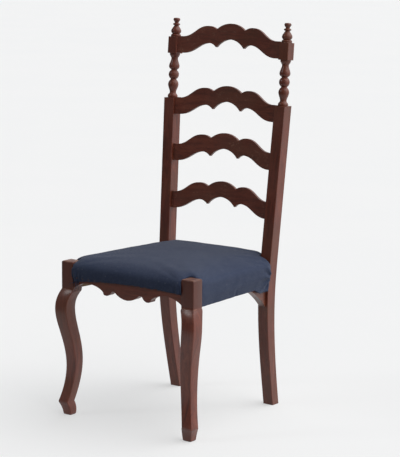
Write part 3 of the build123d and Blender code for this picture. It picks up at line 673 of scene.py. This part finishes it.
def inflate(obj):
    """Cloth simulation: air pressure swells the cover over the stuffing, its skirt held."""
    start = np.array([v.co for v in obj.data.vertices], float)
    pin = obj.vertex_groups.new(name="pin")
    for v in obj.data.vertices:
        held = max(1.0 - smoothstep(PIN_BELOW, PIN_NONE, v.co.z), 0.9 * tucked(v.co))
        pin.add([v.index], held, "REPLACE")
    cloth = obj.modifiers.new("swell", "CLOTH")
    settings = cloth.settings
    settings.quality = 6
    settings.mass = 0.3
    settings.tension_stiffness = 15
    settings.compression_stiffness = 15
    settings.shear_stiffness = 6
    settings.bending_stiffness = 1.0
    settings.use_pressure = True
    settings.uniform_pressure_force = PRESSURE
    settings.effector_weights.gravity = 0.0
    settings.vertex_group_mass = "pin"
    cloth.collision_settings.use_collision = False
    scene = bpy.context.scene
    for step in range(1, CLOTH_FRAMES + 1):
        scene.frame_set(step)
    graph = bpy.context.evaluated_depsgraph_get()
    swollen = obj.evaluated_get(graph).to_mesh()
    end = np.array([v.co for v in swollen.vertices], float)
    obj.evaluated_get(graph).to_mesh_clear()
    obj.modifiers.clear()
    scene.frame_set(1)
    return start, end


def settle(obj, start, end):
    """Takes the swollen shape, scaled so that its crown is the frame's, and no point moved too far."""
    moved = end - start
    rise = (CROWN - start[:, 2].max()) / max(1e-4, end[:, 2].max() - start[:, 2].max())
    moved *= rise
    length = np.linalg.norm(moved, axis=1, keepdims=True)
    moved *= np.minimum(1.0, BIGGEST_MOVE / np.maximum(length, 1e-9))
    final = start + moved
    for v, place in zip(obj.data.vertices, final):
        v.co = place


def smooth_top(obj):
    """Takes the small wrinkles of the simulation out of the stuffed top."""
    stuffed = obj.vertex_groups.new(name="stuffed")
    for v in obj.data.vertices:
        stuffed.add([v.index], smoothstep(*STUFFED, v.co.z), "REPLACE")
    add_modifier(obj, "SMOOTH", factor=0.5, iterations=12, vertex_group="stuffed")
    baked(obj)


def keep_clear(place):
    """The place, pushed out of the leg blocks and the rear posts."""
    side = math.copysign(1.0, place.x)
    x = abs(place.x)
    gap = CLEARANCE
    below_top = place.z < BLOCK_TOP + 0.001
    behind_face = place.y > BLOCK_FRONT_Y - 0.0003
    if below_top and not behind_face:
        x = min(x, BLOCK_LOW_X - gap + OVERLAP * (BLOCK_FRONT_Y - place.y))
    if below_top and behind_face and x > BLOCK_LOW_X - gap and place.y < BLOCK_BACK_Y + gap:
        inward, backward = x - (BLOCK_LOW_X - gap), BLOCK_BACK_Y + gap - place.y
        if inward < backward:
            x = BLOCK_LOW_X - gap
        else:
            place.y = BLOCK_BACK_Y + gap
    post_front = POST_FRONT_Y - gap + 0.082 * max(0.0, place.z - 0.44)
    if x > POST_LOW_X - gap and place.y > post_front and x < POST_HIGH_X + 0.02:
        inward, forward = x - (POST_LOW_X - gap), place.y - post_front
        if inward < forward:
            x = POST_LOW_X - gap
        else:
            place.y = post_front
    place.x = side * x
    return place


def rail_line(y):
    """The x of the right side rail's outer face, and how far along the rail y is, from 0 to 1."""
    along = (y - BLOCK_BACK_Y) / (POST_FRONT_Y - BLOCK_BACK_Y)
    return SIDE_RAIL_FRONT_X + (SIDE_RAIL_REAR_X - SIDE_RAIL_FRONT_X) * along, along


def over_rails(place):
    """The place, kept outside the rails where the cover comes down over them."""
    if place.z > RAIL_TOP - 0.001:
        return place
    side = math.copysign(1.0, place.x)
    x = abs(place.x)
    rail_x, along = rail_line(place.y)
    if x < BLOCK_LOW_X + 0.01 and place.y < RAIL_FACE_Y + 0.03:
        place.y = min(place.y, RAIL_FACE_Y - RAIL_CLOTH_GAP)
    elif x < POST_LOW_X + 0.01 and place.y > RAIL_BACK_Y - 0.03:
        place.y = max(place.y, RAIL_BACK_Y + RAIL_CLOTH_GAP)
    elif 0 < along < 1 and x > rail_x - 0.03:
        x = max(x, rail_x + RAIL_CLOTH_GAP)
    place.x = side * x
    return place


SLACK = 0.0011
DRAPE = 0.0013
PINCH = 0.0022
PINCH_Y = -0.02
PLEAT = 0.0024
PLEAT_Z = 0.392
PUCKER = 0.0007
BUNCH = 0.0026
BUNCH_X = 0.158


def bell(value, centre, width):
    return math.exp(-((value - centre) / width) ** 2)


def fold_depth(place, normal):
    """How far folds and slack lift or sink the cloth at a place.

    The skirt drapes, with one pinch on each side, and pleats fan out where it meets the rear posts.
    The front edge is puckered by its tacks and bunched beside the leg blocks.
    """
    x, y, z = abs(place.x), place.y, place.z
    slack = SLACK * noise.noise(Vector((place.x * 9, y * 9, z * 9)))
    slack += 0.0005 * noise.noise(Vector((place.x * 32, y * 32, z * 22 + 4)))
    skirt = smoothstep(0.43, 0.38, z)
    on_side = smoothstep(0.5, 0.9, abs(normal.x)) * smoothstep(BLOCK_BACK_Y, BLOCK_BACK_Y + 0.02, y)
    drape = DRAPE * noise.noise(Vector((math.copysign(3.0, place.x), y * 26, z * 5))) * skirt * on_side
    pinch = -PINCH * bell(y, PINCH_Y, 0.006) * smoothstep(0.395, 0.37, z) * on_side
    corner = math.hypot(y - POST_FRONT_Y, (z - PLEAT_Z) * 1.3)
    spokes = math.sin(math.atan2(z - PLEAT_Z, POST_FRONT_Y - y + 0.004) * 9.0)
    pleats = PLEAT * spokes * smoothstep(0.075, 0.02, corner) * smoothstep(0.004, 0.014, corner) * on_side
    on_front = smoothstep(0.5, 0.9, -normal.y)
    puckers = PUCKER * math.sin(place.x * 240 + 5 * noise.noise(Vector((place.x * 14, 0, 0))))
    puckers *= on_front * smoothstep(0.424, 0.404, z)
    bunch = BUNCH * math.sin((x - BUNCH_X) * 330) * smoothstep(0.160, 0.176, x) * on_front
    bunch *= smoothstep(0.432, 0.405, z)
    return slack + drape + pinch + pleats + puckers + bunch


def shape_folds(obj):
    """Moves the finished surface along its normals by the folds, clear of the wood."""
    mesh = obj.data
    normals = [v.normal.copy() for v in mesh.vertices]
    for v, normal in zip(mesh.vertices, normals):
        v.co = keep_clear(over_rails(v.co + normal * fold_depth(v.co, normal)))


def islands(bm):
    """The separate pieces of a mesh, each as a set of faces."""
    found, seen = [], set()
    for face in bm.faces:
        if face in seen:
            continue
        island, todo = {face}, [face]
        while todo:
            fresh = {f for edge in todo.pop().edges for f in edge.link_faces} - island
            island |= fresh
            todo += fresh
        seen |= island
        found.append(island)
    return found


def cut_hem(obj):
    """Takes away what is below the hem and turns the side skirts under the rails."""
    bm = bmesh.new()
    bm.from_mesh(obj.data)
    gone = [f for f in bm.faces if f.calc_center_median().z < hem_height(*f.calc_center_median().xy)]
    bmesh.ops.delete(bm, geom=gone, context="FACES")
    biggest = max(islands(bm), key=len)
    bmesh.ops.delete(bm, geom=[f for f in bm.faces if f not in biggest], context="FACES")
    for v in bm.verts:
        if v.is_boundary:
            v.co.z = hem_height(v.co.x, v.co.y)
    hem = [e for e in bm.edges if e.is_boundary and all(
        abs(v.co.x) > SIDE_RAIL_REAR_X and BLOCK_BACK_Y + 0.004 < v.co.y < POST_FRONT_Y for v in e.verts)]
    grown = bmesh.ops.extrude_edge_only(bm, edges=hem)["geom"]
    for v in grown:
        if isinstance(v, bmesh.types.BMVert):
            beside_bracket = smoothstep(BRACKET_FRONT_Y - 0.004, BRACKET_FRONT_Y, v.co.y)
            rail_x, _ = rail_line(v.co.y)
            inner = (rail_x + CLEARANCE) * beside_bracket + (rail_x - TURN_UNDER) * (1 - beside_bracket)
            v.co.x = math.copysign(min(inner, abs(v.co.x)), v.co.x)
            v.co.z = min(v.co.z + 0.0006, RAIL_BOTTOM - 0.0016)
    bmesh.ops.recalc_face_normals(bm, faces=bm.faces)
    bm.normal_update()
    highest = max(bm.faces, key=lambda face: face.calc_center_median().z)
    if highest.normal.z < 0:
        bmesh.ops.reverse_faces(bm, faces=bm.faces)
    bm.to_mesh(obj.data)
    bm.free()
    obj.data.update()


cloth_material = navy_cloth("navy_plain_weave")
cover = cover_base()
settle(cover, *inflate(cover))
smooth_top(cover)
add_modifier(cover, "SUBSURF", levels=1, render_levels=1)
baked(cover)
shape_folds(cover)
cut_hem(cover)
cover_tree = BVHTree.FromPolygons([v.co for v in cover.data.vertices],
                                  [face.vertices for face in cover.data.polygons])
add_modifier(cover, "SOLIDIFY", thickness=CLOTH, offset=-1.0)
baked(cover)
cover.data.materials.append(cloth_material)
for face in cover.data.polygons:
    face.use_smooth = True
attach(cover, "root")
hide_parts("seat_cover", "wadding", "stuffing")

# ---- tacks and frayed threads ----------------------------------

TACK_RADIUS = 0.0017
TACK_RISE = 0.0008
TACK_SIDES = 14
FRONT_TACK_PITCH = 0.022
FRONT_TACK_Z = 0.404
BACK_TACK_PITCH = 0.029
SIDE_TACK_PITCH = 0.026
SIDE_TACKS = 11


def on_cloth(start, direction):
    """Where a line first meets the cover, and the cover's normal there."""
    place, normal, _, _ = cover_tree.ray_cast(Vector(start), Vector(direction))
    return place, normal


def tack_places():
    """Every place on the cover's edge that has a tack. Where the cloth has torn away from a tack in
    front, the tack sits on the bare rail.
    """
    places = []
    for number in range(-8, 9):
        x = number * FRONT_TACK_PITCH
        place, normal = on_cloth((x, COVER_FRONT - 0.1, FRONT_TACK_Z), (0, 1, 0))
        if not place or place.y > RAIL_FACE_Y:
            place, normal = Vector((x, RAIL_FACE_Y, FRONT_TACK_Z)), Vector((0, -1, 0))
        places.append((place, normal))
    for number in range(-5, 6):
        x = number * BACK_TACK_PITCH + rng.uniform(-0.003, 0.003)
        z = hem_height(x, COVER_BACK) + rng.uniform(0.003, 0.005)
        places.append(on_cloth((x, COVER_BACK + 0.1, z), (0, -1, 0)))
    for side in (1, -1):
        for number in range(SIDE_TACKS):
            y = BLOCK_BACK_Y + 0.014 + number * SIDE_TACK_PITCH + rng.uniform(-0.002, 0.002)
            x = side * (SIDE_FRONT_X - 0.007 - (y - BLOCK_BACK_Y) * SIDE_TAPER)
            places.append(on_cloth((x, y, RAIL_BOTTOM - 0.05), (0, 0, 1)))
    return [(place, normal) for place, normal in places if place]


def tack_head(bm, place, normal):
    """One domed head, slightly tilted, sitting on the cloth."""
    tilt = Vector((rng.uniform(-0.12, 0.12), rng.uniform(-0.12, 0.12), rng.uniform(-0.12, 0.12)))
    turn = (normal + tilt).to_track_quat("Z", "Y").to_matrix()
    profile = [(TACK_RADIUS, -0.0004), (TACK_RADIUS, 0.0001)]
    profile += [(TACK_RADIUS * math.cos(a), 0.0002 + TACK_RISE * math.sin(a)) for a in (0.35, 0.75, 1.15)]
    rings = [round_ring(bm, place, turn, radius, TACK_SIDES, rise) for radius, rise in profile]
    tip = bm.verts.new(place + turn @ Vector((0, 0, 0.0002 + TACK_RISE)))
    skin(bm, rings)
    for i in range(TACK_SIDES):
        bm.faces.new((rings[-1][i], rings[-1][(i + 1) % TACK_SIDES], tip))
    bm.faces.new(list(reversed(rings[0])))


bm = bmesh.new()
for place, normal in tack_places():
    tack_head(bm, place, normal)
tacks = new_object("cover_tack_heads", bm, metal("tarnished_brass", BRASS, BRASS_TARNISH, 0.45, 0.7))
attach(tacks, "root")
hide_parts("cover_tacks")


def thread(bm, start, aim, length, radius=0.00022, sides=5, steps=6):
    """A loose thread that curls away from where it starts."""
    place = Vector(start)
    aim = Vector(aim).normalized()
    rings = []
    for step in range(steps + 1):
        turn = aim.to_track_quat("Z", "Y").to_matrix()
        thin = radius * (1 - 0.5 * step / steps)
        rings.append(round_ring(bm, place, turn, thin, sides))
        aim = (aim + Vector([rng.uniform(-0.35, 0.35) for _ in range(3)])).normalized()
        place = place + aim * length / steps
    skin(bm, rings)
    bm.faces.new(list(reversed(rings[0])))
    bm.faces.new(rings[-1])


FRONT_THREADS = 70
FLAP_THREADS = 16
TORN_THREADS = 14

bm = bmesh.new()
for _ in range(FRONT_THREADS):
    x = rng.uniform(-BLOCK_LOW_X + 0.004, BLOCK_LOW_X - 0.004)
    place, normal = on_cloth((x, COVER_FRONT - 0.1, hem_height(x, COVER_FRONT) + 0.0012), (0, 1, 0))
    if place:
        thread(bm, place + Vector((0, 0.0006, 0)), (rng.uniform(-0.8, 0.8), -0.25, -1),
               rng.uniform(0.002, 0.007))
for side in (1, -1):
    for _ in range(FLAP_THREADS):
        y = rng.uniform(0.085, 0.158)
        place, normal = on_cloth((side * 0.3, y, hem_height(side * 0.2, y) + 0.0012), (-side, 0, 0))
        if place:
            thread(bm, place - Vector((side * 0.0006, 0, 0)), (0.25 * side, rng.uniform(-0.8, 0.8), -1),
                   rng.uniform(0.002, 0.008))
for _ in range(TORN_THREADS):
    x = rng.uniform(-BLOCK_LOW_X + 0.002, -BLOCK_LOW_X + 0.020)
    place, normal = on_cloth((x, COVER_FRONT - 0.1, hem_height(x, COVER_FRONT) + 0.0015), (0, 1, 0))
    thread(bm, place + Vector((0, 0.0006, 0)), (rng.uniform(-0.5, 0.3), -0.05, -1),
           rng.uniform(0.012, 0.034), radius=rng.uniform(0.0003, 0.0008), steps=9)
frays = new_object("cover_frayed_threads", bm, cloth_material)
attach(frays, "root")

# ---- webbing and hessian ---------------------------------------

WEB_STEPS = (-1.5, -0.5, 0.5, 1.5)
WEB_PITCH = 0.078
WEB_WIDTH = 0.050
WEB_CLOTH = 0.0016
WEB_RISE = 0.00095
WEB_CROSS_Y = (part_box("webbing_side_to_side")[0].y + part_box("webbing_side_to_side")[1].y) / 2
WEB_MIDDLE = (WEB_BOTTOM + WEB_TOP) / 2
SAG = 0.0045
SAG_REACH = 0.19
SAG_CENTRE_Y = -0.03
HESSIAN_STEPS = 100
HESSIAN_INSET = 0.01
HESSIAN_PILLOW = 0.001
HESSIAN_CLOTH = 0.0007


def sunk(x, y, power):
    """From 1 at the middle of the seat down to 0 at its rails."""
    across, along = x / SAG_REACH, (y - SAG_CENTRE_Y) / SAG_REACH
    return max(0.0, 1 - across ** power) * max(0.0, 1 - along ** power)


def sag(x, y):
    """How far the webbing has sunk under use."""
    return -SAG * sunk(x, y, 2)


def interior(value, low, high):
    return smoothstep(low + 0.02, low + 0.045, value) * (1 - smoothstep(high - 0.045, high - 0.02, value))


def strap(bm, middle, low, high, crosswise, number):
    """One woven strap, closed all round. It passes over and under those that cross it."""
    columns = 9
    rows = max(2, round((high - low) / 0.004))
    grid = {}
    for r in range(rows + 1):
        along = low + (high - low) * r / rows
        inside = interior(along, low, high)
        start = -1.5 * WEB_PITCH if crosswise else WEB_CROSS_Y - 1.5 * WEB_PITCH
        phase = math.cos(math.pi * (along - start) / WEB_PITCH) * (-1) ** number
        rise = WEB_RISE * phase * (-1 if crosswise else 1)
        flat = WEB_TOP - WEB_CLOTH / 2 if crosswise else WEB_BOTTOM + WEB_CLOTH / 2
        for c in range(columns):
            across = middle + WEB_WIDTH * (c / (columns - 1) - 0.5)
            x, y = (along, across) if crosswise else (across, along)
            z = flat + (WEB_MIDDLE + rise - flat) * inside + sag(x, y)
            fuzz = 0.00015 * noise.noise(Vector((x * 300, y * 300, 1)))
            for layer in (-1, 1):
                grid[r, c, layer] = bm.verts.new((x, y, z + layer * WEB_CLOTH / 2 + fuzz))
    quads = []
    for layer in (-1, 1):
        quads += [((r, c, layer), (r + 1, c, layer), (r + 1, c + 1, layer), (r, c + 1, layer))
                  for r in range(rows) for c in range(columns - 1)]
    quads += [((r, c, -1), (r + 1, c, -1), (r + 1, c, 1), (r, c, 1))
              for r in range(rows) for c in (0, columns - 1)]
    quads += [((r, c, -1), (r, c + 1, -1), (r, c + 1, 1), (r, c, 1))
              for c in range(columns - 1) for r in (0, rows)]
    for quad in quads:
        bm.faces.new([grid[key] for key in quad])


def webbing(node, crosswise):
    """All straps that run one way."""
    bm = bmesh.new()
    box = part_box(node)
    for number, step in enumerate(WEB_STEPS):
        if crosswise:
            middle = WEB_CROSS_Y + step * WEB_PITCH
            points = np.array([v.co for v in nodes[node].data.vertices], float)
            near = points[abs(points[:, 1] - middle) < WEB_WIDTH / 2 + 0.001]
            low, high = near[:, 0].min(), near[:, 0].max()
        else:
            middle, low, high = step * WEB_PITCH, box[0].y, box[1].y
        strap(bm, middle, low, high, crosswise, number)
    bmesh.ops.recalc_face_normals(bm, faces=bm.faces)
    start = WEB_CROSS_Y - 1.5 * WEB_PITCH if crosswise else -1.5 * WEB_PITCH
    material = jute(f"{node}_jute", JUTE_DARK, JUTE_LIGHT, WEBBING_THREAD, "Y" if crosswise else "X",
                    start, WEB_PITCH)
    made = new_object(f"{node}_straps", bm, material)
    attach(made, "root")
    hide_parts(node)


webbing("webbing_front_to_back", False)
webbing("webbing_side_to_side", True)


def hessian_sheet():
    """Open-weave sheet that lies on the webbing and pillows down between the straps."""
    low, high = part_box("hessian")
    bm = bmesh.new()
    grid = {}
    for i in range(HESSIAN_STEPS + 1):
        for j in range(HESSIAN_STEPS + 1):
            x = low.x + (high.x - low.x) * i / HESSIAN_STEPS
            y = low.y + (high.y - low.y) * j / HESSIAN_STEPS
            in_block = abs(x) > BLOCK_LOW_X - HESSIAN_INSET and y < BLOCK_BACK_Y + HESSIAN_INSET
            in_post = abs(x) > POST_LOW_X - HESSIAN_INSET and y > POST_FRONT_Y - HESSIAN_INSET
            slope = SIDE_FRONT_X - 0.012 - (y - BLOCK_BACK_Y) * SIDE_TAPER
            if in_block or in_post or abs(x) > slope:
                continue
            between_x = math.cos(2 * math.pi * x / WEB_PITCH)
            between_y = math.cos(2 * math.pi * (y - WEB_CROSS_Y) / WEB_PITCH)
            pillow = -HESSIAN_PILLOW * max(0.0, between_x) * max(0.0, between_y)
            z = low.z + 0.0003 + sag(x, y) + pillow * sunk(x, y, 6)
            z += 0.0002 * noise.noise(Vector((x * 60, y * 60, 2)))
            grid[i, j] = bm.verts.new((x, y, z))
    for i, j in list(grid):
        quad = [(i, j), (i + 1, j), (i + 1, j + 1), (i, j + 1)]
        if all(key in grid for key in quad):
            bm.faces.new([grid[key] for key in quad])
    loose = [v for v in bm.verts if not v.link_faces]
    bmesh.ops.delete(bm, geom=loose, context="VERTS")
    sheet = new_object("hessian_sheet", bm, None)
    add_modifier(sheet, "SOLIDIFY", thickness=HESSIAN_CLOTH, offset=1.0)
    baked(sheet)
    sheet.data.materials.append(jute("hessian_weave", HESSIAN_DARK, HESSIAN_LIGHT, HESSIAN_THREAD))
    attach(sheet, "root")
    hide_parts("hessian")


hessian_sheet()

# ---- studio ----------------------------------------------------

FLOOR_RADIUS = 70.0
MIRRORED_NEAR = 1.2
MIRRORED_FAR = 2.1
SOFTBOX_SIDE = (0.54, 0.30, 0.79)
WINDOW_SIDE = (-0.58, -0.66, 0.47)
BRIGHT_SIDE = (0.62, 0.72, 0.30)
ROOM_DIM = (0.12, 0.12, 0.125)
ROOM_BRIGHT = (0.86, 0.87, 0.89)
BACKDROP = (0.80, 0.80, 0.80)


def studio_floor():
    """Pale floor, seen from above only, so that a camera below it still sees the chair.

    The varnish mirrors only the part near the chair, as if the paper ended there.
    """
    bm = bmesh.new()
    bmesh.ops.create_circle(bm, cap_ends=True, segments=96, radius=FLOOR_RADIUS)
    s = Shader("pale_paper")
    tone = s.noise((1.1, 1.1, 1.1), (2, 5, 0), detail=3.0)
    body = s.mix(s.remap(tone, 0.3, 0.7), PAPER_GREY, PAPER_PALE)
    paper = s.out("BsdfPrincipled", {"Base Color": body, "Roughness": 0.85, "Specular IOR Level": 0.2,
                                     "Emission Color": (0.99, 1.0, 1.0, 1.0), "Emission Strength": 0.475})
    clear = s.out("BsdfTransparent")
    behind = s.node("NewGeometry").outputs["Backfacing"]
    centre = s.node("TexCoord").outputs["Object"]
    away = s.node("VectorMath", {0: centre}, operation="LENGTH").outputs["Value"]
    mirrored = s.maths("MULTIPLY", s.node("LightPath").outputs["Is Glossy Ray"],
                       s.remap(away, MIRRORED_NEAR, MIRRORED_FAR))
    both = s.out("MixShader", {"Fac": s.maths("MAXIMUM", behind, mirrored), 1: paper, 2: clear})
    s.node("OutputMaterial", {"Surface": both})
    floor = new_object("studio_floor", bm, s.owner)
    floor.location.z = -0.0002
    floor.visible_diffuse = False


def far_light(name, towards, energy, angle, colour=(1.0, 1.0, 1.0)):
    """A light that comes from one direction and looks as wide as angle, in degrees."""
    light = bpy.data.lights.new(name, "SUN")
    light.energy = energy
    light.angle = math.radians(angle)
    light.color = colour
    lamp = bpy.data.objects.new(name, light)
    lamp.rotation_mode = "QUATERNION"
    lamp.rotation_quaternion = Vector(towards).to_track_quat("Z", "Y")
    bpy.context.scene.collection.objects.link(lamp)


def studio_light():
    """One broad soft light from the right, a small one that glints on the varnish, and a room that is
    brighter behind than in front.
    """
    far_light("softbox", SOFTBOX_SIDE, 1.7, 75, (1.0, 0.985, 0.97))
    far_light("window", WINDOW_SIDE, 0.34, 13)
    s = Shader("room", bpy.data.worlds)
    direction = s.node("TexCoord").outputs["Generated"]
    share = s.remap(s.dot(direction, BRIGHT_SIDE), -0.35, 0.75)
    room = s.mix(share, ROOM_DIM, ROOM_BRIGHT)
    colour = s.mix(s.node("LightPath").outputs["Is Camera Ray"], room, BACKDROP)
    s.node("OutputWorld", {"Surface": s.out("Background", {"Color": colour, "Strength": 1.0})})
    bpy.context.scene.world = s.owner


def photo_camera():
    """The camera that the chair is first seen by."""
    camera = bpy.data.cameras.new("camera")
    camera.lens = CAMERA_LENS
    camera.sensor_width = 36.0
    camera.clip_start = 0.1
    camera.clip_end = 300.0
    azimuth, tilt, roll = (math.radians(v) for v in (CAMERA_AZIMUTH, 90 - CAMERA_ELEVATION, CAMERA_ROLL))
    turn = Matrix.Rotation(azimuth, 4, "Z") @ Matrix.Rotation(tilt, 4, "X") @ Matrix.Rotation(roll, 4, "Z")
    obj = bpy.data.objects.new("camera", camera)
    obj.matrix_world = Matrix.Translation(CAMERA_PLACE) @ turn
    bpy.context.scene.collection.objects.link(obj)
    bpy.context.scene.camera = obj


studio_floor()
studio_light()
photo_camera()
bpy.context.scene.view_settings.view_transform = "Standard"
